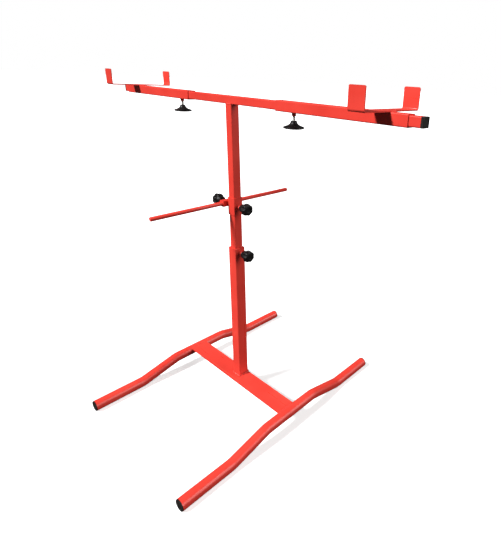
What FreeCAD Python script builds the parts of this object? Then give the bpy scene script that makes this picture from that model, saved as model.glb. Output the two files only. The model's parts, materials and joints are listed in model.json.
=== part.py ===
import FreeCAD, Part
import math
import os
import Sketcher

# Adjustable work stand of welded steel tube: two bent feet joined by a flat crossbar, a mast of two
# square tubes that telescope, a carriage that slides on the mast and holds a cross rod, and a beam on
# which two arm sleeves slide, each with a cradle on top and a clamp screw below.
# Frame: +Z up, origin on the floor under the mast, +X along the beam, +Y along the feet. Millimetres.

SIZES = {
    # feet: round tube, floor runs at both ends and a raised run in the middle
    "foot_diameter": 38, "foot_wall": 2, "foot_spacing": 560, "foot_length": 874,
    "foot_floor_start": 258, "foot_raised_half": 112, "foot_raised_axis": 54, "foot_bend_radius": 90,
    "foot_plug_head": 3, "foot_plug_depth": 18, "foot_plug_head_diameter": 37,
    # crossbar: flat bar let in between the shoulders of the feet
    "crossbar_width": 70, "crossbar_thickness": 5, "crossbar_top": 70.5, "crossbar_shift": -13,
    # mast: an outer tube on the crossbar and an inner tube under the beam
    "tube_wall": 2, "outer_mast": 40, "outer_mast_wall": 4, "inner_mast": 30,
    "outer_mast_top": 605, "inner_mast_length": 900, "mast_screw_drop": 17,
    # carriage: a collar that slides on the inner mast
    "collar": 35, "collar_top": 787, "collar_length": 60, "collar_screw_drop": 31,
    # cross rod and its sleeve, a drilled square bar on the side of the collar
    "rod_diameter": 14, "rod_length": 550, "rod_bore": 14.1, "rod_shift": -10,
    "rod_sleeve_size": 20, "rod_sleeve_length": 50, "rod_height": 764,
    # beam and the two arm sleeves that slide on it
    "beam": 25, "beam_height": 1100, "beam_length": 1337, "beam_plug_head": 8, "beam_plug_depth": 20,
    "arm": 30, "arm_length": 425, "right_arm_start": 213, "left_arm_start": 221,
    "arm_screw_offset": 60, "cradle_offset": 355,
    # cradle: flat strip bent into a U across the beam
    "cradle_width": 45, "cradle_span": 229, "cradle_depth": 55, "cradle_strip": 3, "cradle_bend": 3,
    # clamp screws: threaded boss, stud and knob, measured outward from the face that holds the boss
    "boss_diameter": 12, "boss_bore": 8.1, "boss_length": 8, "stud_diameter": 8, "stud_hole": 9,
    "screw_gap": 0.3, "stud_grip": 16, "mast_knob_start": 20, "arm_knob_start": 21,
    "mast_knob_diameter": 41, "mast_knob_length": 34, "mast_knob_hub": 28, "mast_knob_lobes": 7,
    "flute_diameter": 15, "arm_knob_diameter": 60, "arm_knob_length": 22, "arm_knob_rim": 7,
    "arm_knob_hub": 18,
}
TUBE_CORNER = 3.0
PLUG_EDGE = 1.5
TAB_CORNER = 5.0
X_AXIS, Y_AXIS = FreeCAD.Vector(1, 0, 0), FreeCAD.Vector(0, 1, 0)
UPRIGHT = FreeCAD.Rotation()
ALONG_X = FreeCAD.Rotation(Y_AXIS, 90)
ALONG_MINUS_X = FreeCAD.Rotation(Y_AXIS, -90)
ALONG_Y = FreeCAD.Rotation(X_AXIS, -90)
ALONG_MINUS_Y = FreeCAD.Rotation(X_AXIS, 90)
DOWNWARD = FreeCAD.Rotation(X_AXIS, 180)

doc = FreeCAD.newDocument("stand")
sheet = doc.addObject("Spreadsheet::Sheet", "Sizes")
for row, (alias, size) in enumerate(SIZES.items(), start=1):
    sheet.set(f"A{row}", alias)
    sheet.set(f"B{row}", str(size))
    sheet.setAlias(f"B{row}", alias)
doc.recompute()

pieces = []


def dim(name):
    return float(sheet.get(name))


def cell(formula):
    """Turn words of the formula that name a cell into references to the sheet."""
    words = formula.replace("(", "( ").replace(")", " )").split()
    return " ".join("Sizes." + word if word in SIZES else word for word in words)


def place(thing, rotation=UPRIGHT, x="0", y="0", z="0"):
    """Turn a sub-part, then tie its position to the sheet."""
    thing.Placement = FreeCAD.Placement(FreeCAD.Vector(), rotation)
    for axis, formula in zip("xyz", (x, y, z)):
        thing.setExpression("Placement.Base." + axis, cell(formula) + " + 0")


def new_body(label):
    body = doc.addObject("PartDesign::Body", label.title().replace("_", ""))
    body.Label = label
    return body


def new_sketch(body, role="XY_Plane"):
    sketch = body.newObject("Sketcher::SketchObject", body.Name + "Sketch")
    plane = next(item for item in body.Origin.OriginFeatures if item.Role == role)
    sketch.AttachmentSupport = [(plane, "")]
    sketch.MapMode = "FlatFace"
    return sketch


def constrain(sketch, kind, formula, *where):
    """Add a dimension to a sketch and tie it to the sheet."""
    index = sketch.addConstraint(Sketcher.Constraint(kind, *where, 1.0))
    name = f"{kind}{index}"
    sketch.renameConstraint(index, name)
    sketch.setExpression("Constraints." + name, cell(formula))


def add_rectangle(sketch, width, depth, guess=(10, 10)):
    """Centre a rectangle on the sketch's origin."""
    half_x, half_y = guess[0] / 2, guess[1] / 2
    corners = [FreeCAD.Vector(x, y) for x, y in
               ((-half_x, -half_y), (half_x, -half_y), (half_x, half_y), (-half_x, half_y))]
    sides = [sketch.addGeometry(Part.LineSegment(corners[i], corners[(i + 1) % 4])) for i in range(4)]
    for i, side in enumerate(sides):
        sketch.addConstraint(Sketcher.Constraint("Coincident", side, 2, sides[(i + 1) % 4], 1))
        sketch.addConstraint(Sketcher.Constraint("Vertical" if i % 2 else "Horizontal", side))
    sketch.addConstraint(Sketcher.Constraint("Symmetric", sides[0], 1, sides[2], 1, -1, 1))
    constrain(sketch, "DistanceX", width, sides[0], 1, sides[0], 2)
    constrain(sketch, "DistanceY", depth, sides[1], 1, sides[1], 2)


def add_circle(sketch, diameter, radius_guess=5, centre_x=None):
    """Draw a circle at the sketch's origin, or out along its X axis."""
    start = FreeCAD.Vector(0 if centre_x is None else radius_guess * 2, 0)
    circle = sketch.addGeometry(Part.Circle(start, FreeCAD.Vector(0, 0, 1), radius_guess))
    if centre_x is None:
        sketch.addConstraint(Sketcher.Constraint("Coincident", circle, 3, -1, 1))
    else:
        sketch.addConstraint(Sketcher.Constraint("PointOnObject", circle, 3, -1))
        constrain(sketch, "DistanceX", centre_x, -1, 1, circle, 3)
    constrain(sketch, "Diameter", diameter, circle)
    return circle


def add_outline(sketch, points):
    """Close straight lines through fixed points."""
    vectors = [FreeCAD.Vector(*point) for point in points]
    for start, end in zip(vectors, vectors[1:] + vectors[:1]):
        sketch.addGeometry(Part.LineSegment(start, end))


def pad(body, sketch, length, reverse=False):
    feature = body.newObject("PartDesign::Pad", body.Name + "Pad")
    feature.Profile = sketch
    feature.setExpression("Length", cell(length))
    feature.Reversed = reverse
    doc.recompute()
    return feature


def round_edges(body, base, radius, wanted):
    """Fillet the edges of the base feature whose two ends satisfy the test."""
    names = [f"Edge{i}" for i, edge in enumerate(base.Shape.Edges, start=1)
             if len(edge.Vertexes) == 2 and wanted(edge.Vertexes[0].Point, edge.Vertexes[1].Point)]
    fillet = body.newObject("PartDesign::Fillet", body.Name + "Fillet")
    fillet.Base = (base, names)
    fillet.Radius = radius
    doc.recompute()
    return fillet


def chamfer_ends(body, base, size):
    """Break the round edges at both ends of a bar."""
    names = [f"Edge{i}" for i, edge in enumerate(base.Shape.Edges, start=1)
             if isinstance(edge.Curve, Part.Circle)]
    chamfer = body.newObject("PartDesign::Chamfer", body.Name + "Chamfer")
    chamfer.Base = (base, names)
    chamfer.Size = size
    doc.recompute()
    return chamfer


def finish(piece):
    pieces.append(piece)
    return piece


def square_tube(label, outside, inside, length):
    """Square tube with rounded outer corners, along local Z from the origin."""
    body = new_body(label)
    sketch = new_sketch(body)
    add_rectangle(sketch, outside, outside, (40, 40))
    add_rectangle(sketch, inside, inside, (20, 20))
    tube = pad(body, sketch, length)
    corner = tube.Shape.BoundBox.XMax - 0.01

    def outer_corner(first, second):
        return all(abs(value) > corner for value in (first.x, first.y, second.x, second.y)) \
            and abs(first.z - second.z) > 1

    round_edges(body, tube, TUBE_CORNER, outer_corner)
    return body


def round_bar(label, diameter, length, chamfer=1.0):
    """Solid round bar along local Z with broken ends."""
    body = new_body(label)
    sketch = new_sketch(body)
    add_circle(sketch, diameter)
    chamfer_ends(body, pad(body, sketch, length), chamfer)
    return body


def drill(label, blank, diameter, length, rotation, x="0", y="0", z="0"):
    """Cut one straight hole in a blank; the cut takes over the blank's name."""
    drill_bit = doc.addObject("Part::Cylinder", label.title().replace("_", "") + "Hole")
    drill_bit.setExpression("Radius", cell(f"{diameter} / 2"))
    drill_bit.setExpression("Height", cell(length))
    place(drill_bit, rotation, x, y, z)
    blank.Label = label + "_blank"
    drilled = doc.addObject("Part::Cut", label.title().replace("_", "") + "Drilled")
    drilled.Label = label
    drilled.Base = blank
    drilled.Tool = drill_bit
    doc.recompute()
    return drilled


def foot_tube(label, x):
    """Round tube bent four times: floor run, rise, raised run, fall, floor run."""
    body = new_body(label)
    path = new_sketch(body, "YZ_Plane")
    floor_axis, raised_axis = dim("foot_diameter") / 2, dim("foot_raised_axis")
    knees = [(-dim("foot_length") / 2, floor_axis), (-dim("foot_floor_start"), floor_axis),
             (-dim("foot_raised_half"), raised_axis)]
    knees += [(-y, z) for y, z in reversed(knees)]
    knees = [FreeCAD.Vector(*knee) for knee in knees]
    radius = dim("foot_bend_radius")
    run_start = knees[0]
    for before, knee, after in zip(knees, knees[1:], knees[2:]):
        back, ahead = (before - knee).normalize(), (after - knee).normalize()
        half_angle = back.getAngle(ahead) / 2
        tangent_length = radius / math.tan(half_angle)
        to_centre = (back + ahead).normalize()
        centre = knee + to_centre * (radius / math.sin(half_angle))
        bend_start, bend_end = knee + back * tangent_length, knee + ahead * tangent_length
        path.addGeometry(Part.LineSegment(run_start, bend_start))
        path.addGeometry(Part.Arc(bend_start, centre - to_centre * radius, bend_end))
        run_start = bend_end
    path.addGeometry(Part.LineSegment(run_start, knees[-1]))
    section = new_sketch(body, "XZ_Plane")
    section.setExpression("AttachmentOffset.Base.z", cell("foot_length / 2"))
    section.setExpression("AttachmentOffset.Base.y", cell("foot_diameter / 2"))
    add_circle(section, "foot_diameter", 19)
    add_circle(section, "foot_diameter - 2 * foot_wall", 17)
    doc.recompute()
    pipe = body.newObject("PartDesign::AdditivePipe", body.Name + "Pipe")
    pipe.Profile = section
    pipe.Spine = path
    doc.recompute()
    place(body, UPRIGHT, x)
    return body


def foot_plug(label, x, y, rotation):
    """Round plastic plug: a stem inside the tube and a head that covers its end."""
    body = new_body(label)
    head = new_sketch(body)
    add_circle(head, "foot_plug_head_diameter", 18)
    pad(body, head, "foot_plug_head")
    stem = new_sketch(body)
    add_circle(stem, "foot_diameter - 2 * foot_wall", 16)
    pad(body, stem, "foot_plug_depth", reverse=True)
    place(body, rotation, x, y, "foot_diameter / 2")
    return body


def beam_plug(label, x, rotation):
    """Square plastic plug for an end of the beam."""
    body = new_body(label)
    head = new_sketch(body)
    add_rectangle(head, "beam", "beam", (20, 20))
    face = pad(body, head, "beam_plug_head")
    top = face.Shape.BoundBox.ZMax - 0.01
    round_edges(body, face, PLUG_EDGE, lambda first, second: first.z > top and second.z > top)
    stem = new_sketch(body)
    add_rectangle(stem, "beam - 2 * tube_wall", "beam - 2 * tube_wall", (18, 18))
    pad(body, stem, "beam_plug_depth", reverse=True)
    place(body, rotation, x, "0", "beam_height")
    return body


def crossbar_plate():
    """Flat bar whose ends are coped to the shoulders of the feet."""
    body = new_body("crossbar_bar")
    sketch = new_sketch(body)
    add_rectangle(sketch, "foot_spacing", "crossbar_width", (500, 60))
    pad(body, sketch, "crossbar_thickness")
    place(body, UPRIGHT, "0", "crossbar_shift", "crossbar_top - crossbar_thickness")
    bar = body
    for side, sign in (("left", "-1"), ("right", "1")):
        label = "crossbar" if side == "right" else "crossbar_left_coped"
        shoulder = doc.addObject("Part::Cylinder", side.title() + "Cope")
        shoulder.setExpression("Radius", cell("foot_diameter / 2"))
        shoulder.setExpression("Height", cell("2 * crossbar_width"))
        place(shoulder, ALONG_Y, f"{sign} * foot_spacing / 2", "-1 * crossbar_width", "foot_raised_axis")
        coped = doc.addObject("Part::Cut", side.title() + "CopedBar")
        coped.Base = bar
        coped.Tool = shoulder
        coped.Label = label
        bar = coped
    doc.recompute()
    return bar


def clamp_boss(label, rotation, x, y, z):
    """Threaded boss welded to a tube's wall."""
    body = new_body(label)
    sketch = new_sketch(body)
    add_circle(sketch, "boss_diameter", 6)
    add_circle(sketch, "boss_bore", 4)
    pad(body, sketch, "boss_length")
    place(body, rotation, x, y, z)
    return body


def revolve(body, points):
    """Turn a closed outline of (radius, height) points about local Z."""
    sketch = new_sketch(body, "XZ_Plane")
    add_outline(sketch, points)
    feature = body.newObject("PartDesign::Revolution", body.Name + "Turned")
    feature.Profile = sketch
    feature.ReferenceAxis = (sketch, ["V_Axis"])
    feature.Angle = 360
    doc.recompute()
    return feature


def mast_knob(label, rotation, x, y, z):
    """Lobed hand knob: tapered hub, fluted grip and a shallow crown, with a blind bore for the stud."""
    body = new_body(label)
    start, length = dim("mast_knob_start"), dim("mast_knob_length")
    grip, hub, bore = dim("mast_knob_diameter") / 2, dim("mast_knob_hub") / 2, dim("stud_diameter") / 2
    revolve(body, [(bore, start), (hub, start), (hub + 1.5, start + 0.3 * length),
                   (grip - 1.5, start + 0.4 * length), (grip, start + 0.48 * length),
                   (grip, start + 0.85 * length), (grip - 4, start + length - 1),
                   (hub, start + length), (0, start + length),
                   (0, start + dim("stud_grip")), (bore, start + dim("stud_grip"))])
    flute = new_sketch(body)
    add_circle(flute, "flute_diameter", 7, "mast_knob_diameter / 2 + flute_diameter / 4")
    groove = body.newObject("PartDesign::Pocket", body.Name + "Flute")
    groove.Profile = flute
    groove.Type = "ThroughAll"
    groove.Reversed = True
    doc.recompute()
    pattern = body.newObject("PartDesign::PolarPattern", body.Name + "Flutes")
    pattern.Originals = [groove]
    pattern.Axis = (flute, ["N_Axis"])
    pattern.Angle = 360
    pattern.setExpression("Occurrences", cell("mast_knob_lobes"))
    body.Tip = pattern
    place(body, rotation, x, y, z)
    return body


def arm_knob(label, rotation, x, y, z):
    """Wide knob: a narrow neck that flares into a thin disc, with a blind bore for the stud."""
    body = new_body(label)
    start, length, rim = dim("arm_knob_start"), dim("arm_knob_length"), dim("arm_knob_rim")
    disc, neck, bore = dim("arm_knob_diameter") / 2, dim("arm_knob_hub") / 2, dim("stud_diameter") / 2
    flare_top = start + length - rim
    revolve(body, [(bore, start), (neck - 1, start), (neck, start + 1.5), (neck + 1.5, start + 6),
                   (neck + 5, start + 10), (neck + 11, flare_top - 1), (disc - 2, flare_top + 1),
                   (disc, flare_top + 3), (disc - 1, start + length - 1.5),
                   (disc - 6, start + length), (0, start + length),
                   (0, start + dim("stud_grip")), (bore, start + dim("stud_grip"))])
    place(body, rotation, x, y, z)
    return body


def knob_stud(label, tip, knob_start, rotation, x, y, z):
    """Threaded stud from just short of the clamped piece to the bottom of the knob's bore."""
    body = round_bar(label, "stud_diameter", f"{knob_start} + stud_grip - ( {tip} )")
    turned = {"x": x, "y": y, "z": z}
    outward = rotation.multVec(FreeCAD.Vector(0, 0, 1))
    for axis, part in zip("xyz", outward):
        if abs(part) > 0.5:
            turned[axis] += f" + {round(part)} * ( {tip} )"
    place(body, rotation, turned["x"], turned["y"], turned["z"])
    return body


def clamp_screw(name, make_knob, knob_start, tip, rotation, x, y, z):
    """Boss, knob and stud of one clamp screw; the position is the middle of the boss's seat."""
    finish(clamp_boss(name + "_boss", rotation, x, y, z))
    finish(make_knob(name + "_knob", rotation, x, y, z))
    finish(knob_stud(name + "_stud", tip, knob_start, rotation, x, y, z))


def cradle(label, x):
    """Strip bent into a U across the beam, open at the top."""
    body = new_body(label)
    strip = new_sketch(body)
    add_rectangle(strip, "cradle_width", "cradle_span", (50, 200))
    block = pad(body, strip, "cradle_depth")
    hollow = new_sketch(body)
    add_rectangle(hollow, "2 * cradle_width", "cradle_span - 2 * cradle_strip", (100, 190))
    hollow.setExpression("AttachmentOffset.Base.z", cell("cradle_strip"))
    opening = body.newObject("PartDesign::Pocket", body.Name + "Opening")
    opening.Profile = hollow
    opening.Type = "ThroughAll"
    opening.Reversed = True
    doc.recompute()
    half_span, strip_thickness = dim("cradle_span") / 2, dim("cradle_strip")

    def outer_bend(first, second):
        return first.z < 0.01 and second.z < 0.01 and abs(first.y - second.y) < 0.01

    def inner_bend(first, second):
        level = abs(first.z - strip_thickness) < 0.01 and abs(second.z - strip_thickness) < 0.01
        return level and abs(first.y - second.y) < 0.01 and abs(first.y) < half_span - 1

    def tab_corner(first, second):
        top = dim("cradle_depth") - 0.01
        return first.z > top and second.z > top and abs(first.x - second.x) < 0.01

    bent = round_edges(body, opening, dim("cradle_bend"), inner_bend)
    bent = round_edges(body, bent, dim("cradle_bend") + strip_thickness, outer_bend)
    round_edges(body, bent, TAB_CORNER, tab_corner)
    place(body, UPRIGHT, x, "0", "beam_height + arm / 2")
    return body


def check_and_export():
    """Refuse a failed or empty shape, then write one STEP file for each sub-part."""
    failed = [thing.Label for thing in doc.Objects if {"Invalid", "Error"} & set(thing.State)]
    failed += [piece.Label for piece in pieces if piece.Shape.isNull() or not piece.Shape.isValid()]
    failed += [piece.Label for piece in pieces if len(piece.Shape.Solids) != 1]
    if failed:
        raise RuntimeError("these did not build: " + ", ".join(failed))
    os.makedirs("parts", exist_ok=True)
    for piece in pieces:
        piece.Shape.exportStep(f"parts/{piece.Label}.step")


# Base weldment
for side, sign in (("left", "-1"), ("right", "1")):
    foot_x = f"{sign} * foot_spacing / 2"
    finish(foot_tube(side + "_foot", foot_x))
    finish(foot_plug(side + "_near_plug", foot_x, "-1 * foot_length / 2", ALONG_MINUS_Y))
    finish(foot_plug(side + "_far_plug", foot_x, "foot_length / 2", ALONG_Y))
finish(crossbar_plate())
outer_tube = square_tube("outer_mast_tube", "outer_mast", "outer_mast - 2 * outer_mast_wall",
                         "outer_mast_top - crossbar_top")
place(outer_tube, UPRIGHT, z="crossbar_top")
MAST_SCREW_Z = "outer_mast_top - mast_screw_drop"
finish(drill("outer_mast_tube", outer_tube, "stud_hole", "outer_mast", ALONG_X, z=MAST_SCREW_Z))
clamp_screw("lower_clamp", mast_knob, "mast_knob_start",
            "( inner_mast - outer_mast ) / 2 + screw_gap", ALONG_X, "outer_mast / 2", "0", MAST_SCREW_Z)

# Carriage on the inner mast: collar, and the rod sleeve on the collar's left face
COLLAR_SCREW_Z = "collar_top - collar_screw_drop"
collar = square_tube("clamp_collar", "collar", "collar - 2 * tube_wall", "collar_length")
place(collar, UPRIGHT, z="collar_top - collar_length")
finish(drill("clamp_collar", collar, "stud_hole", "collar", ALONG_X, z=COLLAR_SCREW_Z))
clamp_screw("collar_clamp", mast_knob, "mast_knob_start",
            "( inner_mast - collar ) / 2 + screw_gap", ALONG_X, "collar / 2", "0", COLLAR_SCREW_Z)
ROD_X = "-1 * ( collar + rod_sleeve_size ) / 2"
sleeve_bar = new_body("rod_sleeve")
sleeve_section = new_sketch(sleeve_bar)
add_rectangle(sleeve_section, "rod_sleeve_size", "rod_sleeve_size", (20, 20))
add_circle(sleeve_section, "rod_bore", 6)
pad(sleeve_bar, sleeve_section, "rod_sleeve_length")
place(sleeve_bar, ALONG_Y, ROD_X, "rod_shift - rod_sleeve_length / 2", "rod_height")
finish(drill("rod_sleeve", sleeve_bar, "stud_hole", "rod_sleeve_size", ALONG_MINUS_X, ROD_X,
             "rod_shift", "rod_height"))
clamp_screw("rod_clamp", mast_knob, "mast_knob_start",
            "( rod_diameter - rod_sleeve_size ) / 2 + screw_gap", ALONG_MINUS_X,
            "-1 * collar / 2 - rod_sleeve_size", "rod_shift", "rod_height")
rod = round_bar("cross_rod", "rod_diameter", "rod_length")
place(rod, ALONG_Y, ROD_X, "rod_shift - rod_length / 2", "rod_height")
finish(rod)

# Inner mast and beam
INNER_MAST_TOP = "beam_height - beam / 2"
inner_tube = square_tube("inner_mast_tube", "inner_mast", "inner_mast - 2 * tube_wall",
                         "inner_mast_length")
place(inner_tube, UPRIGHT, z=INNER_MAST_TOP + " - inner_mast_length")
finish(inner_tube)
beam_tube = square_tube("beam_tube", "beam", "beam - 2 * tube_wall", "beam_length")
place(beam_tube, ALONG_X, "-1 * beam_length / 2", "0", "beam_height")
finish(beam_tube)
finish(beam_plug("left_beam_plug", "-1 * beam_length / 2", ALONG_MINUS_X))
finish(beam_plug("right_beam_plug", "beam_length / 2", ALONG_X))

# Arm sleeves
for side, sign, rotation in (("left", "-1", ALONG_MINUS_X), ("right", "1", ALONG_X)):
    start = f"{sign} * {side}_arm_start"
    screw_x = f"{start} + {sign} * arm_screw_offset"
    arm_tube = square_tube(side + "_arm_sleeve", "arm", "arm - 2 * tube_wall", "arm_length")
    place(arm_tube, rotation, start, "0", "beam_height")
    finish(drill(side + "_arm_sleeve", arm_tube, "stud_hole", "arm", DOWNWARD, screw_x, "0",
                 "beam_height"))
    finish(cradle(side + "_cradle", f"{start} + {sign} * cradle_offset"))
    clamp_screw(side + "_arm_clamp", arm_knob, "arm_knob_start", "( beam - arm ) / 2 + screw_gap",
                DOWNWARD, screw_x, "0", "beam_height - arm / 2")

doc.recompute()
check_and_export()
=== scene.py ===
import json
import math

import bmesh
import bpy
from mathutils import Matrix, Vector, noise


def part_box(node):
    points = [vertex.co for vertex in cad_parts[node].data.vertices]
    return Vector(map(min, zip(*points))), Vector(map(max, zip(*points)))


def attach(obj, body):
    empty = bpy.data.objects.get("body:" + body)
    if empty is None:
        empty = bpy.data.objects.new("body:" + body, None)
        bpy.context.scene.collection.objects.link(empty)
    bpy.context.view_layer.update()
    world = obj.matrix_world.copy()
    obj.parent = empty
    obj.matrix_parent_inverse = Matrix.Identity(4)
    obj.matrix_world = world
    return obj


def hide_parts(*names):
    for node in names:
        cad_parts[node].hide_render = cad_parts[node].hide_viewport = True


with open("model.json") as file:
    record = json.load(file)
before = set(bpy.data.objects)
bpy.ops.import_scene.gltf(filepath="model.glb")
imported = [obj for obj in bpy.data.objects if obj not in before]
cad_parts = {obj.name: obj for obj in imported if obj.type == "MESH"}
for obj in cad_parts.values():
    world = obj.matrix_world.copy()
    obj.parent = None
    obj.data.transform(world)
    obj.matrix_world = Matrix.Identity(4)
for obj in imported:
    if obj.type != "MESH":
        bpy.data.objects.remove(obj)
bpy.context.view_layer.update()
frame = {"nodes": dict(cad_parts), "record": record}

MM = 0.001

# Clamp screws, in metres. FLUTE_EASE is the distance over which a flute blends into a knob's rim, and
# a knob with a radius under WIDEST_MAST_KNOB is a mast knob.
BOSS_LENGTH = 8 * MM
STUD_RADIUS = 4 * MM
THREAD_PITCH = 1.25 * MM
THREAD_DEPTH = 0.55 * MM
THREAD_CHAMFER = 1 * MM
KNOB_LOBES = 7
FLUTE_RADIUS = 7.5 * MM
FLUTE_EASE = 0.6 * MM
WIDEST_MAST_KNOB = 25 * MM

# Radii of the weld beads, in metres. BEAD_INSET is how far a bead keeps from the corner of a tube.
MAST_FOOT_BEAD = 3.8 * MM
PLATE_BEAD = 2.6 * MM
SLEEVE_BEAD = 2.2 * MM
STRIP_BEAD = 2.0 * MM
STRIP_END_BEAD = 1.5 * MM
BOSS_BEAD = 1.3 * MM
BEAD_INSET = 3 * MM


# ---------------------------------------------------------------- materials

def node_material(name):
    material = bpy.data.materials.new(name)
    material.use_nodes = True
    tree = material.node_tree
    shader = tree.nodes["Principled BSDF"]
    return material, tree, shader


def add_node(tree, kind, inputs=None, **settings):
    node = tree.nodes.new(kind)
    for key, value in settings.items():
        setattr(node, key, value)
    for key, value in (inputs or {}).items():
        node.inputs[key].default_value = value
    return node


def object_noise(tree, scale, detail=3.0, stretch=(1, 1, 1)):
    """Noise in the object's own space, so it stays put when the object moves."""
    place = add_node(tree, "ShaderNodeTexCoord")
    mapping = add_node(tree, "ShaderNodeMapping", {"Scale": stretch})
    pattern = add_node(tree, "ShaderNodeTexNoise", {"Scale": scale, "Detail": detail})
    tree.links.new(place.outputs["Object"], mapping.inputs["Vector"])
    tree.links.new(mapping.outputs["Vector"], pattern.inputs["Vector"])
    return pattern.outputs["Fac"]


def ramp(tree, source, stops):
    """Colour ramp; each stop is a position and a colour."""
    node = add_node(tree, "ShaderNodeValToRGB")
    band = node.color_ramp
    while len(band.elements) < len(stops):
        band.elements.new(0.5)
    for element, (position, colour) in zip(band.elements, stops):
        element.position = position
        element.color = (*colour, 1)
    tree.links.new(source, node.inputs["Fac"])
    return node.outputs["Color"]


def levels(tree, source, low, high):
    """Map noise onto a range of plain values."""
    node = add_node(tree, "ShaderNodeMapRange",
                    {"From Min": 0.3, "From Max": 0.7, "To Min": low, "To Max": high})
    tree.links.new(source, node.inputs["Value"])
    return node.outputs["Result"]


def bump(tree, source, distance, strength=1.0, below=None):
    node = add_node(tree, "ShaderNodeBump", {"Strength": strength, "Distance": distance})
    tree.links.new(source, node.inputs["Height"])
    if below is not None:
        tree.links.new(below, node.inputs["Normal"])
    return node.outputs["Normal"]


def red_paint(name, rub=(1, 1, 1)):
    """Glossy red enamel over steel: orange peel, slow colour drift, and faint rub marks along the tube."""
    material, tree, shader = node_material(name)
    drift = object_noise(tree, 9.0)
    paint = ramp(tree, drift, [(0.30, (0.72, 0.046, 0.031)), (0.55, (0.79, 0.055, 0.038)),
                               (0.75, (0.85, 0.068, 0.047))])
    scuffs = object_noise(tree, 60.0, 6.0, rub)
    scuffed = ramp(tree, scuffs, [(0.0, (0, 0, 0)), (0.66, (0, 0, 0)), (0.74, (0.35, 0.35, 0.35))])
    mixed = add_node(tree, "ShaderNodeMix", data_type="RGBA")
    mixed.inputs[7].default_value = (0.93, 0.16, 0.10, 1)
    tree.links.new(scuffed, mixed.inputs[0])
    tree.links.new(paint, mixed.inputs[6])
    tree.links.new(mixed.outputs[2], shader.inputs["Base Color"])
    tree.links.new(levels(tree, scuffs, 0.26, 0.40), shader.inputs["Roughness"])
    peel = bump(tree, object_noise(tree, 420.0, 2.0), 0.00012, 0.5)
    ripple = bump(tree, object_noise(tree, 35.0, 2.0), 0.0005, 0.25, peel)
    tree.links.new(ripple, shader.inputs["Normal"])
    shader.inputs["Specular IOR Level"].default_value = 0.4
    return material


def moulded_black(name, colour, rough, grain):
    """Black moulded plastic with a fine grain and slightly paler handled patches."""
    material, tree, shader = node_material(name)
    wear = object_noise(tree, 70.0, 4.0)
    paler = tuple(min(1, part * 1.9 + 0.004) for part in colour)
    tree.links.new(ramp(tree, wear, [(0.35, colour), (0.72, paler)]), shader.inputs["Base Color"])
    tree.links.new(levels(tree, wear, rough - 0.05, rough + 0.12), shader.inputs["Roughness"])
    tree.links.new(bump(tree, object_noise(tree, grain, 2.0), 0.0001, 0.6), shader.inputs["Normal"])
    shader.inputs["Specular IOR Level"].default_value = 0.25
    return material


def zinc_steel(name):
    """Zinc plated screw steel with mottled plating."""
    material, tree, shader = node_material(name)
    mottle = object_noise(tree, 220.0, 5.0)
    plating = ramp(tree, mottle, [(0.30, (0.42, 0.41, 0.38)), (0.60, (0.66, 0.65, 0.61)),
                                  (0.80, (0.74, 0.72, 0.64))])
    tree.links.new(plating, shader.inputs["Base Color"])
    tree.links.new(levels(tree, mottle, 0.28, 0.45), shader.inputs["Roughness"])
    tree.links.new(bump(tree, object_noise(tree, 900.0, 2.0), 0.00005, 0.4), shader.inputs["Normal"])
    shader.inputs["Metallic"].default_value = 1.0
    return material


PAINT_UPRIGHT = red_paint("red_enamel_upright", (1, 1, 0.06))
PAINT_BEAM = red_paint("red_enamel_beam", (0.06, 1, 1))
PAINT_FEET = red_paint("red_enamel_feet", (1, 0.06, 1))
PAINT_WELD = red_paint("red_enamel_weld")
KNOB_BLACK = moulded_black("knob_black", (0.0035, 0.003, 0.003), 0.40, 900.0)
PLUG_BLACK = moulded_black("plug_black", (0.009, 0.007, 0.006), 0.5, 600.0)
ZINC = zinc_steel("zinc_steel")


# ---------------------------------------------------------------- building pieces

def mesh_piece(name, vertices, faces, material, body):
    """Make a smooth mesh object that rides on a CAD body."""
    mesh = bpy.data.meshes.new(name)
    mesh.from_pydata([tuple(v) for v in vertices], [], faces)
    build = bmesh.new()
    build.from_mesh(mesh)
    bmesh.ops.remove_doubles(build, verts=build.verts, dist=1e-7)
    bmesh.ops.recalc_face_normals(build, faces=build.faces)
    build.to_mesh(mesh)
    build.free()
    for face in mesh.polygons:
        face.use_smooth = True
    mesh.materials.append(material)
    piece = bpy.data.objects.new(name, mesh)
    bpy.context.scene.collection.objects.link(piece)
    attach(piece, body)
    return piece


def ring_faces(rings, around, closed=False):
    """Quads between successive rings of vertices."""
    faces = []
    last = rings if closed else rings - 1
    for i in range(last):
        for j in range(around):
            a, b = i * around + j, i * around + (j + 1) % around
            c, d = ((i + 1) % rings) * around + (j + 1) % around, ((i + 1) % rings) * around + j
            faces.append((a, b, c, d))
    return faces


def turned(profile, around, shape=None):
    """Vertices and faces of a profile of (radius, height) turned about Z; shape can alter a radius."""
    vertices = []
    for radius, height in profile:
        for j in range(around):
            angle = math.tau * j / around
            reach = shape(radius, angle) if shape else radius
            vertices.append(Vector((reach * math.cos(angle), reach * math.sin(angle), height)))
    return vertices, ring_faces(len(profile), around)


def smooth_profile(points, steps=6):
    """Catmull-Rom curve through the points of a profile."""
    padded = [points[0], *points, points[-1]]
    curve = []
    for before, start, end, after in zip(padded, padded[1:], padded[2:], padded[3:]):
        for step in range(steps):
            t = step / steps
            curve.append(tuple(
                0.5 * (2 * b + (c - a) * t + (2 * a - 5 * b + 4 * c - d) * t * t
                       + (3 * b - a - 3 * c + d) * t ** 3)
                for a, b, c, d in zip(before, start, end, after)))
    return curve + [points[-1]]


def stand_on(seat, outward):
    """Matrix that carries local +Z onto the outward direction at the seat."""
    return Matrix.Translation(seat) @ outward.to_track_quat("Z", "Y").to_matrix().to_4x4()


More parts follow.
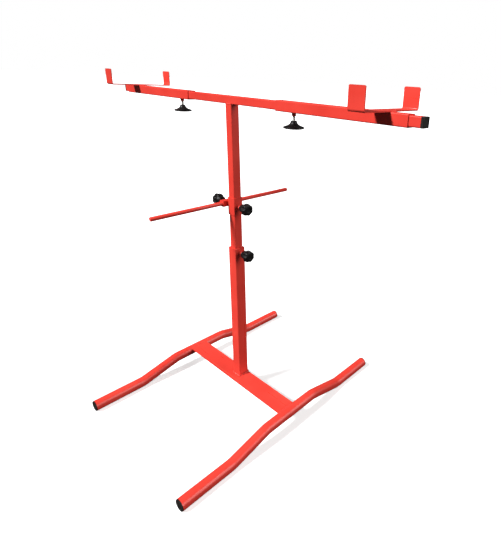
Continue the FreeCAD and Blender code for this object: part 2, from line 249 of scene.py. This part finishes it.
def resample(path, spacing, closed):
    """Evenly spaced points along straight runs."""
    ends = path + [path[0]] if closed else path
    points = []
    for start, end in zip(ends, ends[1:]):
        count = max(1, round((end - start).length / spacing))
        points += [start.lerp(end, k / count) for k in range(count)]
    return points if closed else points + [ends[-1]]


def weld_bead(name, path, radius, body, closed=False):
    """Rippled bead along a path: overlapping puddles, a little uneven, fading at open ends."""
    ripple_length, rings_per_ripple, around = 1.5 * radius, 5, 10
    points = resample(path, ripple_length / rings_per_ripple, closed)
    count = len(points)
    vertices = []
    for i, point in enumerate(points):
        ahead = points[(i + 1) % count] if closed or i < count - 1 else point
        behind = points[i - 1] if closed or i > 0 else point
        tangent = (ahead - behind).normalized()
        side = tangent.orthogonal().normalized()
        other = tangent.cross(side)
        phase = (i % rings_per_ripple) / rings_per_ripple
        swell = 0.90 + 0.16 * math.sin(math.pi * phase) + 0.10 * noise.noise(point * 400)
        from_end = count if closed else min(i, count - 1 - i)
        taper = min(1.0, 0.35 + from_end / 6)
        for j in range(around):
            angle = math.tau * j / around
            reach = radius * swell * taper
            vertices.append(point + (side * math.cos(angle) + other * math.sin(angle)) * reach)
    faces = ring_faces(count, around, closed)
    if not closed:
        faces += [tuple(range(around - 1, -1, -1)), tuple(range((count - 1) * around, count * around))]
    return mesh_piece(name, vertices, faces, PAINT_WELD, body)


def circle_path(seat, outward, radius, count=24):
    carry = stand_on(seat, outward)
    return [carry @ Vector((radius * math.cos(math.tau * k / count),
                            radius * math.sin(math.tau * k / count), 0)) for k in range(count)]


def square_path(half, height, corner):
    """Closed square with clipped corners about the mast's axis."""
    near, far = half - corner, half
    plan = [(far, -near), (far, near), (near, far), (-near, far),
            (-far, near), (-far, -near), (-near, -far), (near, -far)]
    return [Vector((x, y, height)) for x, y in plan]


# ---------------------------------------------------------------- clamp screws

def threaded_stud(name, seat, outward, tip, end, body):
    """Stud with a real helical thread and a chamfered tip; tip and end are heights above the seat."""
    around, steps = 28, 8
    rings = int((end - tip) / THREAD_PITCH * steps)
    vertices = []
    for i in range(rings + 1):
        height = tip + (end - tip) * i / rings
        for j in range(around):
            turn = (height - tip) / THREAD_PITCH - j / around
            flank = abs((turn % 1.0) * 2 - 1)
            depth = THREAD_DEPTH * min(1.0, max(0.0, flank * 1.3 - 0.15))
            lead_in = max(0.0, THREAD_CHAMFER - (height - tip))
            radius = min(STUD_RADIUS - depth, STUD_RADIUS - lead_in * 0.9)
            angle = math.tau * j / around
            vertices.append(Vector((radius * math.cos(angle), radius * math.sin(angle), height)))
    faces = ring_faces(rings + 1, around)
    faces += [tuple(range(around - 1, -1, -1)), tuple(range(rings * around, (rings + 1) * around))]
    carry = stand_on(seat, outward)
    return mesh_piece(name, [carry @ v for v in vertices], faces, ZINC, body)


def fluted(radius, angle, grip):
    """Pull a radius in where a finger flute crosses the rim of a lobed knob."""
    centre = grip + FLUTE_RADIUS / 2
    half_lobe = math.pi / KNOB_LOBES
    off_flute = (angle + half_lobe) % (2 * half_lobe) - half_lobe
    across = centre * math.sin(off_flute)
    if abs(across) >= FLUTE_RADIUS:
        return radius
    floor = centre * math.cos(off_flute) - math.sqrt(FLUTE_RADIUS ** 2 - across ** 2)
    gap = abs(radius - floor) / FLUTE_EASE
    return min(radius, floor) - FLUTE_EASE * math.log1p(math.exp(-gap))


def mast_knob(name, seat, outward, start, length, grip, body):
    """Seven-lobed hand knob: stout hub, rounded fluted grip and a shallow dished crown."""
    profile = smooth_profile([
        (4.2 * MM, start + 0.2 * MM), (12.4 * MM, start + 0.1 * MM), (13.9 * MM, start + 1.6 * MM),
        (14.6 * MM, start + 0.22 * length), (grip - 3.6 * MM, start + 0.36 * length),
        (grip - 0.8 * MM, start + 0.45 * length), (grip, start + 0.56 * length),
        (grip, start + 0.78 * length), (grip - 1.4 * MM, start + 0.92 * length),
        (grip - 5 * MM, start + 0.985 * length), (9 * MM, start + length),
        (7.6 * MM, start + length - 0.9 * MM), (3 * MM, start + length - 1.2 * MM),
        (0.2 * MM, start + length - 1.2 * MM)])
    around = 24 * KNOB_LOBES
    vertices, faces = turned(profile, around, lambda radius, angle: fluted(radius, angle, grip))
    faces.append(tuple(range(len(vertices) - around, len(vertices))))
    carry = stand_on(seat, outward)
    return mesh_piece(name, [carry @ v for v in vertices], faces, KNOB_BLACK, body)


def arm_knob(name, seat, outward, start, length, disc, body):
    """Wide knob: a narrow neck that flares in a smooth trumpet to a thin disc with a dished face."""
    end = start + length
    profile = smooth_profile([
        (4.2 * MM, start + 0.2 * MM), (7.2 * MM, start + 0.1 * MM), (8.6 * MM, start + 1.2 * MM),
        (9.6 * MM, start + 5 * MM), (12.5 * MM, start + 9 * MM), (18 * MM, start + 12.6 * MM),
        (24.5 * MM, start + 15 * MM), (disc - 1.6 * MM, start + 16.4 * MM),
        (disc - 0.15 * MM, start + 17.9 * MM), (disc - 0.8 * MM, start + 19.8 * MM),
        (disc - 4 * MM, end - 0.6 * MM), (disc - 8 * MM, end), (disc - 10.5 * MM, end - 0.5 * MM),
        (disc - 12 * MM, end - 1.6 * MM), (6 * MM, end - 2 * MM), (0.2 * MM, end - 2 * MM)])
    around = 120
    vertices, faces = turned(profile, around)
    faces.append(tuple(range(len(vertices) - around, len(vertices))))
    carry = stand_on(seat, outward)
    return mesh_piece(name, [carry @ v for v in vertices], faces, KNOB_BLACK, body)


def clamp_screw(name, outward):
    """Replace a clamp screw's CAD knob and stud by finished ones, and weld its boss to the tube."""
    boss_low, boss_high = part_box(name + "_boss")
    middle = (boss_low + boss_high) / 2
    seat = middle - outward * BOSS_LENGTH / 2
    body = name + "_screw"

    def reach(node):
        corners = [(corner - seat).dot(outward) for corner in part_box(node)]
        return min(corners), max(corners)

    tip, stud_end = reach(name + "_stud")
    start, end = reach(name + "_knob")
    knob_low, knob_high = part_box(name + "_knob")
    spans = [span for span, along in zip(knob_high - knob_low, outward) if not along]
    knob_radius = max(spans) / 2
    make = mast_knob if knob_radius < WIDEST_MAST_KNOB else arm_knob
    knob = make(name + "_hand_knob", seat, outward, start, end - start, knob_radius, body)
    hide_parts(name + "_knob")
    stud = threaded_stud(name + "_threaded_stud", seat, outward, tip, stud_end, body)
    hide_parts(name + "_stud")
    carrier = next(body for body, nodes in frame["record"]["behaviour"]["bodies"].items()
                   if name + "_boss" in nodes)
    boss_radius = 6.3 * MM
    weld_bead(name + "_boss_weld", circle_path(seat + outward * 0.5 * MM, outward, boss_radius),
              BOSS_BEAD, carrier, closed=True)


# ---------------------------------------------------------------- the CAD nodes

def soften(node, width, material):
    """Give a CAD node its material and break its sharp edges."""
    piece = frame["nodes"][node]
    piece.data.materials.clear()
    piece.data.materials.append(material)
    weld = piece.modifiers.new("join", "WELD")
    weld.merge_threshold = 2e-6
    if width:
        edge = piece.modifiers.new("edges", "BEVEL")
        edge.width = width
        edge.segments = 2
        edge.limit_method = "ANGLE"
        edge.angle_limit = math.radians(40)


for node in ("outer_mast_tube", "clamp_collar", "inner_mast_tube"):
    soften(node, 0, PAINT_UPRIGHT)
for node in ("beam_tube", "left_arm_sleeve", "right_arm_sleeve"):
    soften(node, 0, PAINT_BEAM)
for node in ("left_foot", "right_foot", "cross_rod", "rod_sleeve"):
    soften(node, 0, PAINT_FEET)
soften("crossbar", 0.8 * MM, PAINT_BEAM)
for node in ("left_cradle", "right_cradle"):
    soften(node, 0.4 * MM, PAINT_BEAM)
for node in frame["nodes"]:
    if node.endswith("_plug"):
        soften(node, 0.8 * MM, PLUG_BLACK)
    if node.endswith("_boss"):
        soften(node, 0, PAINT_WELD)

for name, outward in (("lower_clamp", (1, 0, 0)), ("collar_clamp", (1, 0, 0)), ("rod_clamp", (-1, 0, 0)),
                      ("left_arm_clamp", (0, 0, -1)), ("right_arm_clamp", (0, 0, -1))):
    clamp_screw(name, Vector(outward))


# ---------------------------------------------------------------- welds

def straight(start, end):
    return [Vector(start), Vector(end)]


def base_welds():
    """Bead round the foot of the mast, and beads where the crossbar meets the feet."""
    mast_low, mast_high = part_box("outer_mast_tube")
    half = mast_high.x
    weld_bead("mast_foot_weld", square_path(half + 1.0 * MM, mast_low.z + 1.0 * MM, BEAD_INSET),
              MAST_FOOT_BEAD, "base", closed=True)
    bar_low, bar_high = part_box("crossbar")
    for side, sign in (("left", -1), ("right", 1)):
        foot_low, foot_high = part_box(side + "_foot")
        axis_x = (foot_low.x + foot_high.x) / 2
        radius = (foot_high.x - foot_low.x) / 2
        axis_z = foot_high.z - radius
        for face, height in (("top", bar_high.z), ("under", bar_low.z)):
            x = axis_x - sign * math.sqrt(radius ** 2 - (height - axis_z) ** 2)
            weld_bead(f"{side}_crossbar_{face}_weld",
                      straight((x, bar_low.y + 2 * MM, height), (x, bar_high.y - 2 * MM, height)),
                      PLATE_BEAD, "base")


def mast_welds():
    """Beads along the rod sleeve, and where the inner mast meets the beam."""
    collar_low, collar_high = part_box("clamp_collar")
    sleeve_low, sleeve_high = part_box("rod_sleeve")
    near_y = max(sleeve_low.y, collar_low.y + BEAD_INSET)
    far_y = min(sleeve_high.y, collar_high.y - BEAD_INSET)
    for edge, height in (("top", sleeve_high.z), ("bottom", sleeve_low.z)):
        weld_bead(f"rod_sleeve_{edge}_weld",
                  straight((collar_low.x, near_y, height), (collar_low.x, far_y, height)),
                  SLEEVE_BEAD, "rod_carriage")
    top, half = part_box("inner_mast_tube")[1].z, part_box("inner_mast_tube")[1].x
    beam_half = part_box("beam_tube")[1].y
    run = half - BEAD_INSET
    for side, sign in (("left", -1), ("right", 1)):
        weld_bead(f"beam_{side}_weld",
                  straight((sign * half, -run, top), (sign * half, run, top)),
                  PLATE_BEAD, "upper_mast")
    for side, sign in (("near", -1), ("far", 1)):
        y, z = sign * (beam_half + 1.2 * MM), top + 0.6 * MM
        weld_bead(f"beam_{side}_weld", straight((-run, y, z), (run, y, z)), STRIP_BEAD, "upper_mast")


def cradle_welds():
    """Beads along the edges of each cradle's strip, on top of its arm sleeve."""
    for side in ("left", "right"):
        body = side + "_arm"
        arm_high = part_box(side + "_arm_sleeve")[1]
        strip_low, strip_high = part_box(side + "_cradle")
        reach = arm_high.y - 3.5 * MM
        seam_z, end_z = arm_high.z + 0.4 * MM, arm_high.z - 0.9 * MM
        for edge, x in (("outer", strip_low.x), ("inner", strip_high.x)):
            weld_bead(f"{side}_cradle_{edge}_weld",
                      straight((x, -reach, seam_z), (x, reach, seam_z)), STRIP_BEAD, body)
        for edge, sign in (("near", -1), ("far", 1)):
            y = sign * (arm_high.y - 0.8 * MM)
            weld_bead(f"{side}_cradle_{edge}_weld",
                      straight((strip_low.x + BEAD_INSET, y, end_z),
                               (strip_high.x - BEAD_INSET, y, end_z)), STRIP_END_BEAD, body)


base_welds()
mast_welds()
cradle_welds()


# ---------------------------------------------------------------- stage, light and camera

def stage_floor():
    """Wide pale floor, lit from within so that shadows on it stay faint; it lends the object no light."""
    reach, height = 60.0, -0.3 * MM
    mesh = bpy.data.meshes.new("floor")
    corners = [(-reach, -reach, height), (reach, -reach, height), (reach, reach, height),
               (-reach, reach, height)]
    mesh.from_pydata(corners, [], [(0, 1, 2, 3)])
    floor = bpy.data.objects.new("floor", mesh)
    bpy.context.scene.collection.objects.link(floor)
    material, tree, shader = node_material("pale_floor")
    tone = object_noise(tree, 1.5, 2.0)
    tree.links.new(ramp(tree, tone, [(0.3, (0.84, 0.84, 0.84)), (0.7, (0.88, 0.88, 0.88))]),
                   shader.inputs["Base Color"])
    shader.inputs["Roughness"].default_value = 0.8
    shader.inputs["Specular IOR Level"].default_value = 0.0
    shader.inputs["Emission Color"].default_value = (1, 1, 1, 1)
    shader.inputs["Emission Strength"].default_value = 0.62
    mesh.materials.append(material)
    floor.visible_diffuse = False
    floor.visible_glossy = False


def lamp(name, kind, direction, colour=(1, 1, 1), **settings):
    """A light aimed from the given direction at the middle of the stand."""
    data = bpy.data.lights.new(name, kind)
    data.color = colour
    for key, value in settings.items():
        setattr(data, key, value)
    piece = bpy.data.objects.new(name, data)
    middle = Vector((0, 0, 0.6))
    piece.location = middle + Vector(direction)
    piece.rotation_mode = "QUATERNION"
    piece.rotation_quaternion = Vector(direction).to_track_quat("Z", "Y")
    bpy.context.scene.collection.objects.link(piece)


def studio():
    """Soft key from above the near side, a wide fill from the right and behind, and a white surround."""
    lamp("key", "SUN", (-0.36, -1.0, 1.0), energy=5.3, angle=math.radians(12))
    lamp("side_fill", "SUN", (1.0, 0.55, 0.5), (1.0, 0.97, 0.95), energy=1.7, angle=math.radians(40))
    world = bpy.data.worlds.new("surround")
    bpy.context.scene.world = world
    world.use_nodes = True
    tree = world.node_tree
    tree.nodes.clear()
    seen = add_node(tree, "ShaderNodeBackground", {"Color": (1, 1, 1, 1), "Strength": 1.0})
    lit = add_node(tree, "ShaderNodeBackground", {"Color": (1, 1, 1, 1), "Strength": 0.06})
    path = add_node(tree, "ShaderNodeLightPath")
    mix = add_node(tree, "ShaderNodeMixShader")
    output = add_node(tree, "ShaderNodeOutputWorld")
    tree.links.new(path.outputs["Is Camera Ray"], mix.inputs[0])
    tree.links.new(lit.outputs[0], mix.inputs[1])
    tree.links.new(seen.outputs[0], mix.inputs[2])
    tree.links.new(mix.outputs[0], output.inputs[0])
    bpy.context.scene.view_settings.view_transform = "Standard"


def camera():
    """Eye a little above the beam, well round to the right of the near side."""
    eye = Vector((1.110, -0.838, 1.180))
    azimuth, elevation, roll = math.radians(38.57), math.radians(20.22), math.radians(3.17)
    back = Vector((math.sin(azimuth) * math.cos(elevation), -math.cos(azimuth) * math.cos(elevation),
                   math.sin(elevation)))
    level = Vector((math.cos(azimuth), math.sin(azimuth), 0))
    upright = back.cross(level)
    right = level * math.cos(roll) + upright * math.sin(roll)
    up = upright * math.cos(roll) - level * math.sin(roll)
    data = bpy.data.cameras.new("camera")
    data.sensor_fit = "HORIZONTAL"
    data.sensor_width = 36
    data.lens = 29.83
    data.shift_x = -0.170
    data.shift_y = -0.0713
    data.clip_start, data.clip_end = 0.01, 200
    eye_object = bpy.data.objects.new("camera", data)
    turn = Matrix((right, up, back)).transposed().to_4x4()
    eye_object.matrix_world = Matrix.Translation(eye) @ turn
    bpy.context.scene.collection.objects.link(eye_object)
    bpy.context.scene.camera = eye_object


stage_floor()
studio()
camera()
